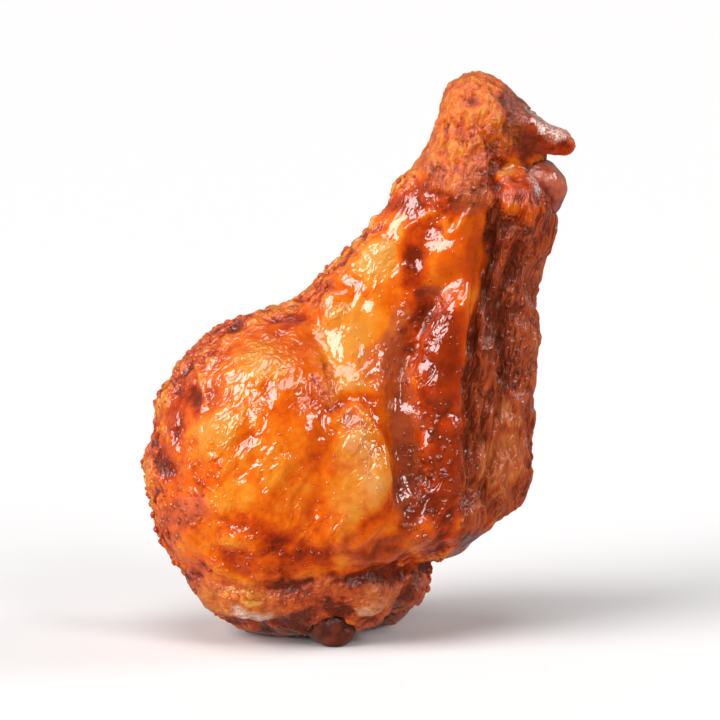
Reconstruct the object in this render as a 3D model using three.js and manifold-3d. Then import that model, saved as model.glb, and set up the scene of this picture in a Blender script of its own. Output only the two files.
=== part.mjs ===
// A glazed chicken drumette, the meaty first joint of a wing. It stands on its cut shoulder end, which is
// broad and low, and its shaft leans up to the right and ends in the elbow knuckle.
// Millimetres, +Z up, the front towards -Y. The origin is under the middle of the piece, on the floor.

import * as THREE from "three";
import { mergeVertices } from "three/addons/utils/BufferGeometryUtils.js";
import { ImprovedNoise } from "three/addons/math/ImprovedNoise.js";
import Module from "manifold-3d";

const wasm = await Module();
wasm.setup();

// ---------------------------------------------------------------- driving dimensions

const BONE_LINE = { from: [-2, 0, 27], to: [18, 0, 69] }; // the line that the flesh is wrapped round
const FLOOR_TRIM = 0.8; // how much the weight of the piece flattens what it stands on
const SOCKET_GAP = 0.3; // clearance round each piece of cartilage
const ROUND_SEGMENTS = 68; // facets round the piece
const LENGTH_SEGMENTS = 34; // rows of facets along the bone line
const CAP_SEGMENTS = 21; // rows of facets over each end

// Each muscle is a round-ended tapered lobe: its two end centres, the radius at each, its depth over its
// width, and how softly it runs into the others.
const MUSCLES = {
  bigMuscle: { from: [-10, 1, 25.8], to: [-8.6, 1, 29.8], radii: [18.8, 18.9], depth: 1.02, blend: 4 },
  crustBump: { from: [-15.6, 0, 44.6], to: [-12.6, -1, 45.6], radii: [2.8, 2.9], depth: 1.3, blend: 1.5 },
  lowerMuscle: { from: [-11.6, 1, 18.4], to: [-5, 1, 17], radii: [14.6, 13.8], depth: 1.1, blend: 4 },
  frontMuscle: { from: [0, -7.5, 29.6], to: [2, -8, 22], radii: [9.5, 10.5], depth: 1, blend: 2.5 },
  backMuscle: { from: [-2, 8, 30], to: [4, 8, 20], radii: [10, 10.5], depth: 1, blend: 2.5 },
  shaft: { from: [6, 1, 34], to: [15, 1, 60.5], radii: [12, 8.6], depth: 1, blend: 5 },
  neckSkin: { from: [-3.4, 0, 45.2], to: [12.4, 0, 65], radii: [5.8, 3.8], depth: 1.3, blend: 3.5 },
  frontRidge: { from: [12.5, -6, 21], to: [17, -3, 60], radii: [7, 5], depth: 1, blend: 2 },
  sideMeat: { from: [19.6, 3, 26.2], to: [22.6, 2, 57], radii: [7.2, 5.2], depth: 1.2, blend: 2.5 },
  sideKnot: { from: [25, 1, 46.6], to: [25.8, 1, 45.6], radii: [2.8, 2.2], depth: 1.4, blend: 2 },
  heel: { from: [12.5, 2, 21.2], to: [19, 2, 24.6], radii: [9.2, 7.2], depth: 1.1, blend: 3 },
  knuckle: { from: [17.5, 0, 67], to: [19.2, 0, 77.6], radii: [7.1, 5.6], depth: 1.3, blend: 2.5 },
  elbow: { from: [22, 0, 62], to: [25.2, 0.5, 61], radii: [6, 5.2], depth: 1.1, blend: 2 },
  elbowHollow: { from: [22.2, 1, 75], to: [25.2, 2.4, 70.2], radii: [4.3, 4.2], depth: 1.3, blend: 1.5 },
  elbowNub: { from: [24.2, -5, 65.4], to: [25, -4.5, 63.2], radii: [4.1, 4.4], depth: 1, blend: 1 },
  leftFoot: { from: [-11.2, 4, 9.2], to: [-7.5, 3.5, 8.6], radii: [8.9, 8.2], depth: 1.15, blend: 4 },
  rightFoot: { from: [1, 7.5, 7.8], to: [4.6, 10, 6.7], radii: [7.2, 6.4], depth: 1.1, blend: 4 },
  frontFoot: { from: [-6, -3, 8.6], to: [0, -3, 8.4], radii: [6.4, 6.2], depth: 1.2, blend: 3 },
  rightLump: { from: [2, -3, 10.4], to: [7.2, 0, 10.2], radii: [5.8, 5], depth: 1.2, blend: 3.5 },
};

// The flap of skin torn off the neighbouring joint: a thin plate that narrows to its tip and droops.
const TORN_SKIN = {
  centre: [25.3, -0.5, 76.2],
  radii: [8.8, 5.6, 2.7],
  pitch: 24,
  roll: 14,
  taper: 0.4, // share of its width lost at the tip
  droop: 0.8,
  ragged: 0.3, // how unevenly its edge is torn, as a share of its width
};

// Each fold follows a smooth path on the front or the back of the flesh. Its [x, height] points lie on a plane
// that leans back from the vertical. A positive depth is a furrow and a negative one a raised crest.
const PLANE_LEAN = 9; // degrees
const FOLDS = {
  bulbEdge: {
    side: "front",
    path: [[-7, 49.5], [-3.4, 45], [-1.4, 40], [-0.6, 35.5]],
    width: 1.8,
    depth: 1.6,
  },
  furrow: {
    side: "front",
    path: [[15.5, 53], [12, 48.5], [9.3, 42.5], [7.9, 37], [8.1, 30], [9.4, 24], [8.6, 18], [5, 13.5]],
    width: 2,
    depth: 2.6,
  },
  sideCrease: {
    side: "front",
    path: [[20.8, 59], [19.4, 50], [18.4, 43], [18.2, 36], [18.6, 28], [18.3, 21]],
    width: 1.4,
    depth: 2.2,
  },
  ridgeCrest: {
    side: "front",
    path: [[16.6, 60], [15.6, 50], [14.6, 40], [13.8, 30], [13.4, 20]],
    width: 2,
    depth: -0.9,
  },
  skinHem: {
    side: "front",
    path: [[-25, 11], [-17, 8.8], [-8, 8.6], [-1, 10.8], [5, 10], [14, 10.7]],
    width: 1.4,
    depth: 1,
  },
  backFurrow: {
    side: "back",
    path: [[14, 56], [9, 46], [2, 40], [-6, 38], [-12, 42]],
    width: 2.4,
    depth: 2.2,
  },
  backFold: {
    side: "back",
    path: [[13, 34], [8, 26], [9, 18], [4, 13]],
    width: 1.8,
    depth: 2,
  },
  backHem: {
    side: "back",
    path: [[-24, 12], [-14, 10], [-4, 11], [8, 10]],
    width: 1.6,
    depth: 1.2,
  },
};

// Relief of the browned surface: how high it stands and how far apart its lumps are. The fibres of the bare
// meat are drawn out along Z, and fade out with the distance from their centre.
const RELIEF = {
  lumps: { height: 0.75, spacing: 6.5 },
  crags: { height: 0.4, spacing: 2.8 },
  fibres: { height: 0.55, spacing: 2.4, stretch: 6, centre: [25, 0, 38], reach: [7, 14, 24] },
};

// Pieces of joint cartilage that show where the bone was parted from its neighbours.
const ELBOW_CARTILAGE = { centre: [27.4, 1.6, 66.6], radii: [4.1, 5.2, 4.7], tilt: -18 };
const SHOULDER_CARTILAGE = { centre: [-2.3, -5, 3.6], radii: [3.8, 4, 4], tilt: 8 };

// ---------------------------------------------------------------- the flesh's form

const { clamp, degToRad, lerp, smoothstep } = THREE.MathUtils;
const vector = (xyz) => new THREE.Vector3(...xyz);

function smoothMinimum(a, b, blend) {
  const h = clamp(0.5 + (0.5 * (b - a)) / blend, 0, 1);
  return lerp(b, a, h) - blend * h * (1 - h);
}

// Signed distance from a point to one muscle, measured in a space where its depth equals its width.
function muscleDistance(point, { from, to, radii, depth }) {
  const squash = new THREE.Vector3(1, 1 / depth, 1);
  const start = vector(from).multiply(squash);
  const line = new THREE.Line3(start, vector(to).multiply(squash));
  const flat = point.clone().multiply(squash);
  const share = line.closestPointToPointParameter(flat, true);
  const radius = lerp(radii[0], radii[1], share);
  return (flat.distanceTo(line.at(share, new THREE.Vector3())) - radius) * Math.min(1, depth);
}

function fleshDistance(point) {
  const FAR_OFF = 1000;
  return Object.values(MUSCLES).reduce(
    (nearest, muscle) => smoothMinimum(nearest, muscleDistance(point, muscle), muscle.blend),
    FAR_OFF,
  );
}

const noise = new ImprovedNoise();

// Smooth noise between about -1 and 1, with lumps a given spacing apart that may be stretched along Z.
function noiseAt(point, spacing, stretch = 1) {
  return noise.noise(point.x / spacing, point.y / spacing, point.z / (spacing * stretch));
}

// The folds, each with its path drawn out as a smooth curve on the leaning plane.
const folds = Object.values(FOLDS).map((fold) => {
  const STEPS_PER_POINT = 4;
  const curve = new THREE.CatmullRomCurve3(fold.path.map(([x, height]) => new THREE.Vector3(x, height, 0)));
  return { ...fold, points: curve.getPoints(fold.path.length * STEPS_PER_POINT) };
});

function onLeaningPlane(point) {
  const lean = degToRad(PLANE_LEAN);
  return new THREE.Vector3(point.x, point.z * Math.cos(lean) + point.y * Math.sin(lean), 0);
}

function distanceToPath(point, points) {
  const flat = onLeaningPlane(point);
  const line = new THREE.Line3();
  const nearest = new THREE.Vector3();
  let shortest = Infinity;
  for (let i = 1; i < points.length; i++) {
    line.set(points[i - 1], points[i]).closestPointToPoint(flat, true, nearest);
    shortest = Math.min(shortest, flat.distanceTo(nearest));
  }
  return shortest;
}

// How far the surface sinks at a point, from all the folds on the side that it faces.
function foldDepth(point, normal) {
  let sunk = 0;
  for (const { side, points, width, depth } of folds) {
    const facing = smoothstep(side === "front" ? -normal.y : normal.y, -0.25, 0.45);
    if (facing > 0) sunk += depth * facing * Math.exp(-((distanceToPath(point, points) / width) ** 2));
  }
  return sunk;
}

function reliefHeight(point) {
  const { lumps, crags, fibres } = RELIEF;
  const away = point.clone().sub(vector(fibres.centre)).divide(vector(fibres.reach)).length();
  const onMeat = 1 - smoothstep(away, 0.6, 1.2);
  return (
    lumps.height * noiseAt(point, lumps.spacing) +
    crags.height * noiseAt(point, crags.spacing) +
    fibres.height * onMeat * noiseAt(point, fibres.spacing, fibres.stretch)
  );
}

// Walks a point inwards along a ray from the bone line until it meets the flesh.
function wrapPoint(point, boneLine) {
  const START = 60;
  const STEPS = 80;
  const root = boneLine.closestPointToPoint(point, true, new THREE.Vector3());
  const ray = point.clone().sub(root).normalize();
  let reach = START;
  for (let i = 0; i < STEPS; i++) {
    const gap = fleshDistance(root.clone().addScaledVector(ray, reach));
    reach = Math.max(0.5, reach - 0.7 * clamp(gap, -5, 5));
  }
  point.copy(root).addScaledVector(ray, reach);
}

function movePoints(geometry, move) {
  const position = geometry.attributes.position;
  const normal = geometry.attributes.normal;
  const point = new THREE.Vector3();
  const out = new THREE.Vector3();
  for (let i = 0; i < position.count; i++) {
    point.fromBufferAttribute(position, i);
    if (normal) out.fromBufferAttribute(normal, i);
    move(point, out);
    position.setXYZ(i, point.x, point.y, point.z);
  }
}

// A capsule round the bone line, wrapped onto the flesh, then folded and roughened along its normals.
function fleshGeometry() {
  const boneLine = new THREE.Line3(vector(BONE_LINE.from), vector(BONE_LINE.to));
  const along = boneLine.delta(new THREE.Vector3()).normalize();
  const RADIUS = 20;
  const facets = [CAP_SEGMENTS, ROUND_SEGMENTS, LENGTH_SEGMENTS];
  const capsule = new THREE.CapsuleGeometry(RADIUS, boneLine.distance(), ...facets);
  const turn = new THREE.Quaternion().setFromUnitVectors(new THREE.Vector3(0, 1, 0), along);
  const middle = boneLine.getCenter(new THREE.Vector3());
  capsule.applyQuaternion(turn).translate(middle.x, middle.y, middle.z);
  const geometry = closedGeometry(capsule);
  movePoints(geometry, (point) => wrapPoint(point, boneLine));
  geometry.computeVertexNormals();
  movePoints(geometry, (point, normal) => point.addScaledVector(normal, -foldDepth(point, normal)));
  geometry.computeVertexNormals();
  movePoints(geometry, (point, normal) => point.addScaledVector(normal, reliefHeight(point)));
  geometry.deleteAttribute("normal");
  return geometry;
}

// An ellipsoid of cartilage, slightly lumpy, grown by a margin when it is used to cut its socket.
function cartilageGeometry({ centre, radii, tilt }, grown = 0) {
  const UNEVEN = 0.25;
  const LUMP_SPACING = 0.9; // on a ball of radius 1
  const geometry = closedGeometry(new THREE.SphereGeometry(1, 18, 12));
  const turn = new THREE.Euler(0, degToRad(tilt), 0);
  movePoints(geometry, (point) => {
    const size = 1 + UNEVEN * noiseAt(point, LUMP_SPACING);
    const reach = vector(radii).multiplyScalar(size).addScalar(grown);
    point.multiply(reach).applyEuler(turn).add(vector(centre));
  });
  return geometry;
}

// The torn skin, a flattened ball whose local X runs from its root to its tip.
function tornSkinGeometry({ centre, radii, pitch, roll, taper, droop, ragged }) {
  const TEAR_SPACING = 0.45; // on a ball of radius 1
  const geometry = closedGeometry(new THREE.SphereGeometry(1, 22, 12).rotateX(Math.PI / 2));
  const turn = new THREE.Euler(degToRad(roll), degToRad(pitch), 0);
  movePoints(geometry, (point) => {
    const towardsTip = (point.x + 1) / 2;
    const tear = 1 + ragged * noiseAt(new THREE.Vector3(point.x, point.y, 0), TEAR_SPACING);
    point.multiply(vector(radii));
    point.y *= (1 - taper * towardsTip) * tear;
    point.z -= droop * towardsTip ** 2;
    point.applyEuler(turn).add(vector(centre));
  });
  return geometry;
}

// ---------------------------------------------------------------- solids

// Merges a closed geometry's shared corners and drops the faces that collapse at its poles.
function closedGeometry(source) {
  const bare = source.clone();
  bare.deleteAttribute("uv");
  bare.deleteAttribute("normal");
  const merged = mergeVertices(bare, 1e-4);
  const corners = merged.index.array;
  const kept = [];
  for (let i = 0; i < corners.length; i += 3) {
    const [a, b, c] = corners.subarray(i, i + 3);
    if (a !== b && b !== c && c !== a) kept.push(a, b, c);
  }
  return merged.setIndex(kept);
}

function solidFrom(geometry) {
  const { position } = geometry.attributes;
  const triVerts = new Uint32Array(geometry.index.array);
  return new wasm.Manifold(new wasm.Mesh({ numProp: 3, vertProperties: position.array, triVerts }));
}

function geometryFrom(solid) {
  const { vertProperties, triVerts } = solid.getMesh();
  return new THREE.BufferGeometry()
    .setAttribute("position", new THREE.BufferAttribute(vertProperties, 3))
    .setIndex(new THREE.BufferAttribute(triVerts, 1));
}

// Everything below the trimmed floor, which flattens what the piece stands on.
function floorBlock() {
  const SIDE = 200;
  const block = new THREE.BoxGeometry(SIDE, SIDE, SIDE).translate(0, 0, FLOOR_TRIM - SIDE / 2);
  return solidFrom(closedGeometry(block));
}

const largest = (solid) => solid.decompose().sort((a, b) => b.volume() - a.volume())[0];

const floor = floorBlock();
const elbowCartilage = solidFrom(cartilageGeometry(ELBOW_CARTILAGE));
const shoulderCartilage = solidFrom(cartilageGeometry(SHOULDER_CARTILAGE)).subtract(floor);
const wrapped = solidFrom(fleshGeometry());
const tornSkin = solidFrom(tornSkinGeometry(TORN_SKIN));
const flesh = wrapped
  .add(tornSkin)
  .subtract(floor)
  .subtract(solidFrom(cartilageGeometry(ELBOW_CARTILAGE, SOCKET_GAP)))
  .subtract(solidFrom(cartilageGeometry(SHOULDER_CARTILAGE, SOCKET_GAP)));

// ---------------------------------------------------------------- the piece

const browned = new THREE.MeshStandardMaterial({ color: 0xc8641b, roughness: 0.35, metalness: 0 });
const pinkCartilage = new THREE.MeshStandardMaterial({ color: 0xb5674c, roughness: 0.25, metalness: 0 });
const darkCartilage = new THREE.MeshStandardMaterial({ color: 0x5a2416, roughness: 0.4, metalness: 0 });

function part(name, solid, material) {
  const mesh = new THREE.Mesh(geometryFrom(solid), material);
  mesh.name = name;
  return mesh;
}

const drumette = new THREE.Group();
drumette.add(
  part("skin_and_meat", largest(flesh), browned),
  part("elbow_cartilage", elbowCartilage, pinkCartilage),
  part("shoulder_cartilage", shoulderCartilage, darkCartilage),
);

// The origin goes under the middle of the piece's box.
const middle = new THREE.Box3().setFromObject(drumette).getCenter(new THREE.Vector3());
drumette.position.set(-middle.x, -middle.y, -FLOOR_TRIM);

export default drumette;
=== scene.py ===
"""Dresses the solids of a chicken drumette: glazed, browned skin, bare meat, crumbs and cartilage."""

import math
import random

import bmesh
import bpy
import numpy as np
from mathutils import Euler, Matrix, Vector, noise


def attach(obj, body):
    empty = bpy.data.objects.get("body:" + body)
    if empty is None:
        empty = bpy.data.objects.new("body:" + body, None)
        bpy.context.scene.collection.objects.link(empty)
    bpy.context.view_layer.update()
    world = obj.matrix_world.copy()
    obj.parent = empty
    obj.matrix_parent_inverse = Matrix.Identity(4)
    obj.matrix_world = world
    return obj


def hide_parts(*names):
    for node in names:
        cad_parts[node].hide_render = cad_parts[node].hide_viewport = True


bl_info = {
    "name": "Chicken drumette",
    "version": (1, 0, 0),
    "blender": (4, 5, 0),
    "location": "3D View > Sidebar > Drumette",
    "description": "Builds a glazed and browned chicken drumette round its packed solids",
    "category": "Add Mesh",
}

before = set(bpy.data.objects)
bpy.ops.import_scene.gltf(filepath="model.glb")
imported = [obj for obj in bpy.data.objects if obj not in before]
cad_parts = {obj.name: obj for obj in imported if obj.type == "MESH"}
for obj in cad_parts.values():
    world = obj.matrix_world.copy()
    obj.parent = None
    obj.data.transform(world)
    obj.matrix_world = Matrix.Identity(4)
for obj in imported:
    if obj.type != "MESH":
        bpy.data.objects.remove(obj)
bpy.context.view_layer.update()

MM = 0.001

# ---------------------------------------------------------------- where things are on the piece

# Places on the skin are given as (across, up) in millimetres on a plane that leans back from the vertical,
# which is how the piece is seen from a little above. "front" faces -Y and "back" +Y.
LEAN = math.radians(9)

# Raised seams (negative depth) and sharp creases (positive depth) in the skin: side, path, width, depth.
CREASES = {
    "bulb edge": ("front", [(-8.6, 48.4), (-6.4, 44), (-5.2, 39.4), (-4.2, 35.6)], 0.8, 0.2),
    "second lobe": (
        "front",
        [(-3.8, 33.2), (-0.9, 34.9), (2.2, 33.2), (3.8, 29.6), (5.2, 25)]
        + [(5.2, 21.4), (3.4, 18.4), (0, 15.6), (-1.8, 13.2)],
        0.9,
        0.35,
    ),
    "lobe curl": ("front", [(-3, 31.4), (-0.8, 33.2), (1.3, 31.6), (2.6, 28.6)], 0.55, -0.3),
    "lobe left": ("front", [(-4.4, 33.4), (-6.2, 28.5), (-5.8, 23), (-6.8, 17.5), (-4.5, 13.2)], 0.9, 0.18),
    "ridge side": (
        "front",
        [(18.8, 60.5), (18.2, 52.6), (16.8, 45.6), (15.5, 38.6), (15.4, 33), (15.9, 26), (15.7, 20)],
        0.8,
        1.0,
    ),
    "ridge lip": ("front", [(17.4, 60.5), (16.8, 52.6), (15.3, 45.6), (14, 38.6), (13.8, 33)], 0.6, -0.5),
    "ridge line": (
        "front",
        [(6, 58.5), (8.9, 60.3), (11.2, 60.8), (12.9, 57.9), (14.7, 60.3), (15.8, 61.4)],
        0.45,
        -0.4,
    ),
    "saddle line": ("front", [(1.2, 51), (-0.4, 47.6), (-0.9, 44.4)], 0.6, -0.2),
    "bulb seam": ("front", [(-7.3, 37.3), (-4.5, 33.7), (-3.2, 35.7)], 0.4, -0.35),
    "pocket rim": ("front", [(-22.9, 38.8), (-22.2, 36), (-22.4, 33.4)], 0.45, -0.45),
    "low seam": ("front", [(-21, 13.2), (-15, 12.4), (-9.6, 13.8), (-4, 12.2), (0.5, 12.8)], 0.7, 0.25),
    "hem": ("front", [(-27, 10.4), (-19.5, 8.2), (-12, 7.6), (-6.5, 8.6), (-2.6, 10)], 0.5, 0.12),
    "heel hem": ("front", [(-1.6, 8.6), (2, 9.2), (6, 9.6), (11, 10)], 0.8, 0.9),
    "meat split": ("front", [(22.6, 56), (20.6, 50), (20.4, 44), (21, 38), (19.8, 32)], 0.7, 0.9),
    "meat split low": ("front", [(17.4, 36), (17.8, 30), (18.8, 24)], 0.5, 0.6),
    "nub gap": ("front", [(19.2, 68.4), (18.9, 65.5), (19.5, 63), (19.2, 60.4)], 0.6, 1.0),
    "back seam": ("back", [(-6, 47), (-4, 40), (-6, 33), (-4, 26)], 0.8, 0.8),
    "back lobe": ("back", [(3, 33), (7, 27), (6, 20), (1, 15)], 0.9, 0.8),
    "back ridge": ("back", [(17.5, 60), (16, 50), (14.6, 40), (13.4, 30)], 0.8, 0.9),
    "back hem": ("back", [(-24, 11), (-14, 9), (-4, 10), (8, 9.4)], 0.9, 0.8),
}

# Round hollows: side, across, up, radius, depth.
PITS = {
    "bump hole": ("front", -17.8, 45.3, 1.1, 0.5),
    "left pocket": ("front", -23.9, 34.8, 1.6, 0.6),
    "low pocket": ("front", -28.0, 24.6, 1.9, 0.6),
    "red hollow": ("front", 7.6, 54.6, 1.8, 0.6),
    "under the nub": ("front", 20.8, 59.2, 1.6, 1.0),
    "beside the nub": ("front", 20.2, 67.4, 1.3, 0.8),
    "meat hollow": ("front", 20.6, 38.4, 1.3, 1.0),
    "base hollow": ("front", -9.5, 2.2, 1.6, 0.9),
}

# Soft lumps: side, across, up, half width, half height, turn in degrees, height.
LUMPS = {
    "glaze drop": ("front", 10.4, 42.4, 3.6, 5.0, -28, 0.4),
    "middle drop": ("front", 8.0, 37.6, 2.2, 2.6, -15, 0.35),
    "lower drop": ("front", 11.0, 35.2, 2.2, 2.8, -10, 0.35),
    "bead row": ("front", 13.4, 30.8, 2.0, 1.4, 20, 0.7),
    "low drop": ("front", 9.4, 27.6, 1.5, 2.2, 0, 0.6),
    "low cluster": ("front", 8.8, 15.6, 3.2, 1.8, 35, 0.8),
    "lobe crown": ("front", -0.6, 28.6, 2.6, 3.4, -20, 0.6),
    "lobe shoulder": ("front", 2.4, 24.0, 3.2, 5.0, -15, 0.9),
    "bulb crown": ("front", -14.4, 39.4, 3.4, 3.0, -30, 0.6),
    "bulb cheek": ("front", -20.2, 30.4, 3.0, 3.4, 0, 0.5),
    "saddle brow": ("front", -3.6, 46.6, 2.0, 1.6, 20, 0.3),
    "saddle swell": ("front", -1.8, 40.8, 4.4, 6.0, -20, 0.8),
    "ridge brow": ("front", 12.0, 53.8, 3.2, 5.4, -12, 0.6),
    "rim bump": ("both", -29.0, 34.2, 2.4, 2.0, 0, 0.9),
    "low rim bump": ("both", -30.6, 24.0, 2.0, 3.0, 0, 0.5),
    "nub left": ("front", 21.0, 62.8, 1.8, 2.6, 10, 0.6),
    "nub right": ("front", 24.2, 60.8, 2.0, 2.2, 0, 0.6),
    "nub fringe": ("front", 20.2, 66.2, 1.1, 1.6, 20, 0.9),
    "thin flap": ("both", 27.0, 76.6, 4.4, 2.4, -40, -1.8),
    "neck swell": ("front", 1.8, 54.4, 2.4, 4.4, -38, 0.5),
    "low film": ("front", -17.4, 14.6, 3.6, 1.6, -10, 0.5),
    "base tissue": ("front", -17.2, 5.8, 7.0, 3.0, -10, 1.7),
    "base shelf": ("front", 1.2, 4.6, 2.8, 1.4, 12, 0.7),
}

# A tone is how browned the surface is, from 0, pale, to 1, nearly black, and how bare, from 0, glazed skin,
# to 1, bare meat. Each zone is an ellipse that covers the ones before it: across, up, half width, half
# height, turn in degrees, browning, bareness.
SKIN_TONE = (0.44, 0.0)
MEAT_TONE = (0.56, 1.0)
BASE_TONE = (0.62, 0.65)
RIM_CRUST_TONE = (0.56, 0.25)
NECK_CRUST_TONE = (0.46, 0.0)
FRONT_TONES = [
    # the round bulb
    (-17, 36.5, 7, 9.5, -15, 0.38, 0),
    (-19.5, 27.5, 5, 4.5, 0, 0.36, 0),
    (-10.2, 36, 3.2, 7.5, -8, 0.43, 0),
    (-11.3, 28.5, 4.5, 4, 0, 0.39, 0),
    (-13, 44.8, 5, 1.8, 12, 0.56, 0),
    (-9.6, 45.8, 1.6, 1.8, 0, 0.7, 0),
    (-17.9, 45.2, 1.4, 0.8, 10, 0.66, 0.1),
    (-20.5, 44, 1.6, 1.8, -40, 0.66, 0.4),
    (-24.8, 37.5, 2.4, 4.2, -25, 0.62, 0.3),
    (-23.6, 34.8, 1.2, 2.6, 0, 0.6, 0),
    (-26.6, 31, 2.2, 3, -10, 0.6, 0),
    (-28, 24.6, 1.7, 1.8, 0, 0.58, 0),
    (-25.6, 27.5, 1.2, 3, 0, 0.42, 0),
    (-18.5, 20.6, 4.2, 2.6, 0, 0.22, 0.1),
    (-9.8, 23, 4, 3.2, 0, 0.38, 0),
    (-20.6, 15.4, 3, 1.6, 0, 0.44, 0),
    (-14.6, 15.6, 5, 2.4, -8, 0.58, 0),
    (-25.8, 17, 2.6, 4.4, -30, 0.56, 0.35),
    (-12, 11.4, 9, 2.2, 0, 0.6, 0.2),
    (-10.7, 10.6, 1.5, 1.2, 0, 0.62, 0),
    (-5.6, 35.2, 1.6, 2.4, 0, 0.56, 0),
    # the saddle and the neck
    (-1.2, 43.6, 4.2, 6.6, -28, 0.22, 0),
    (0.6, 37.8, 3.4, 3.2, 0, 0.28, 0.35),
    (5, 43.5, 2.4, 5.6, -8, 0.34, 0.75),
    (2.2, 39, 2.2, 3.4, 0, 0.42, 0.5),
    (1.8, 54, 2.4, 4.6, -38, 0.16, 0),
    (-2.6, 50.8, 2.2, 1.6, -40, 0.38, 0),
    (5.6, 59.2, 1.8, 2.4, -38, 0.24, 0),
    (6.6, 62.6, 2, 4, -40, 0.66, 0.1),
    # the ridge and the furrow beside it
    (12.6, 53.4, 3.8, 5.4, -12, 0.53, 0.1),
    (16.2, 55, 1.6, 6, -9, 0.58, 0),
    (13, 62.6, 5.4, 2.4, -16, 0.7, 0.3),
    (8.4, 31.8, 2.6, 1.7, 15, 0.5, 0.7),
    # the second lobe
    (-0.8, 31, 2.2, 2, 0, 0.42, 0.7),
    (-1, 27, 3.4, 4, -25, 0.3, 0.4),
    (-0.6, 20.5, 4.2, 5.4, -20, 0.24, 0.36),
    (-2.2, 13.4, 2.2, 4, 0, 0.3, 0.4),
    (9.4, 15.4, 4.6, 3, 15, 0.78, 0.4),
    (3.8, 12.4, 5.6, 2.4, 14, 0.6, 0.6),
    (16, 13.4, 4, 3, 20, 0.78, 0.5),
]
# Bands that follow a path: side, path, half width, browning, bareness.
BANDS = [
    ("front", [(9.8, 49), (7, 43), (5.8, 37.5), (6.4, 31), (7, 24), (7.6, 17.5)], 2.0, 0.54, 0.9),
    ("front", [(10.4, 46), (11, 43), (11.2, 40), (11.2, 34.5)], 3.9, 0.84, 0),
    ("front", [(12.2, 33), (12.2, 27), (11.4, 21), (9.6, 16.4)], 3.6, 0.76, 0.35),
    ("front", [(18.4, 61), (17.7, 54), (16.6, 47), (15.9, 41), (15.6, 34)], 0.9, 0.6, 0),
    ("front", [(5, 64), (7.8, 60.4), (8.2, 56.5), (7.2, 52)], 2.1, 0.72, 0),
    ("front", [(-5.4, 31.5), (-6.2, 28.5), (-5.8, 23), (-6.8, 17.5), (-4.5, 13.2)], 1.0, 0.45, 0.1),
    ("back", [(9, 50), (5, 43), (4, 36), (7, 28), (8, 20)], 2.0, 0.66, 0.85),
    ("back", [(13, 50), (12.4, 42), (11.6, 34), (12, 24)], 2.8, 0.82, 0.2),
]
BACK_TONES = [
    (-13, 33, 8, 8.5, 10, 0.26, 0),
    (1, 47, 4.5, 7, -25, 0.22, 0),
    (-2, 20, 5, 5, 0, 0.3, 0),
    (10, 52, 2.5, 5, -20, 0.4, 0),
    (-6, 28, 5, 5, 0, 0.55, 0),
    (-17, 18, 5, 4, 0, 0.6, 0),
    (-8, 11.6, 15, 2.4, 0, 0.66, 0.25),
    (6, 34, 4, 6, -20, 0.75, 0.1),
    (12, 30, 3.5, 9, 0, 0.75, 0.4),
    (4, 40, 6, 2.4, 25, 0.55, 0.8),
    (8, 20, 3, 5, 0, 0.55, 0.8),
    (15.5, 57, 3, 6.5, -8, 0.58, 0.1),
]
FRONT_MEAT_TONES = [
    (20.5, 51, 3.6, 6.5, 0, 0.7, 1),
    (19, 43, 1.8, 4, 0, 0.66, 1),
    (22.4, 40.4, 2, 5, 0, 0.7, 1),
    (18.6, 34, 1.2, 4, 0, 0.56, 1),
    (24.6, 38, 1.8, 9, 0, 0.52, 1),
    (20.3, 25, 3.8, 5, -20, 0.34, 1),
    (21.6, 32, 1.1, 2.2, 0, 0.24, 1),
    (18.4, 26, 1, 3.4, -10, 0.26, 1),
]
BASE_TONES = [
    (-20.8, 4.8, 3.6, 3, -25, 0.56, 0.5),
    (-16, 1.6, 5, 1.5, 0, 0.56, 0.4),
    (-7, 4.6, 5.6, 3, 0, 0.74, 0.7),
    (2.4, 6.4, 3, 2.2, 20, 0.46, 0.8),
    (8.4, 6, 3, 3, 0, 0.72, 0.8),
    (-14.6, 4, 2.8, 1.3, -12, 0.02, 1),
    (-15.8, 6.9, 3, 0.7, -6, 0.18, 0),
    (1, 4.4, 1.8, 0.6, 10, 0.06, 1),
]
ELBOW_TONES = [
    (15.2, 74.5, 8, 9.6, 0, 0.45, 0.25),
    (17.4, 69, 4, 4, 0, 0.56, 0.3),
    (12.6, 66, 5, 2.6, -30, 0.55, 0.5),
    (17.5, 65.6, 2.6, 2, 0, 0.6, 0.5),
    (22.6, 73.6, 2.2, 6.4, 10, 0.66, 0.9),
    (16.4, 62.6, 3, 2.2, 0, 0.54, 0.8),
    (18.8, 74.6, 2.2, 1.6, 0, 0.34, 0),
    (21.5, 57.4, 5.5, 2, 0, 0.66, 0.9),
    (26.8, 60, 1.8, 3.6, 0, 0.68, 0.8),
    (23.2, 62.8, 4, 4.2, 0, 0.68, 0),
    (24.4, 65.4, 2, 1.2, -30, 0.74, 0.3),
    (19.9, 66.4, 0.8, 1, 0, 0.12, 0),
    (21.1, 61.4, 0.9, 1.8, 0, 0.44, 0),
    (24.1, 60.3, 1.3, 1.3, 0, 0.58, 0),
    (25, 67.4, 2.8, 1.7, 0, 0.74, 1),
    (24.2, 70, 2.8, 2.6, 0, 0.74, 0.7),
    (28.2, 72, 3.8, 1.8, -30, 0.7, 0.4),
    # the flap's pale top: partly pale tissue, partly painted highlight standing for its glints
    (27.2, 74.2, 4.2, 1.9, -42, 0.3, 1),
    (28.8, 70.1, 3.4, 1.6, -30, 0.76, 0.1),
    (31, 71, 0.9, 1.2, 0, 0.52, 0),
    (24.6, 69, 1, 0.9, 0, 0.52, 0),
]

# Clusters of torn bits: across, up, how far they spread across and up, how many, browning.
TORN_BITS = [
    (-16.6, 6.4, 1.7, 0.25, 14, 0.2),
]

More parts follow.
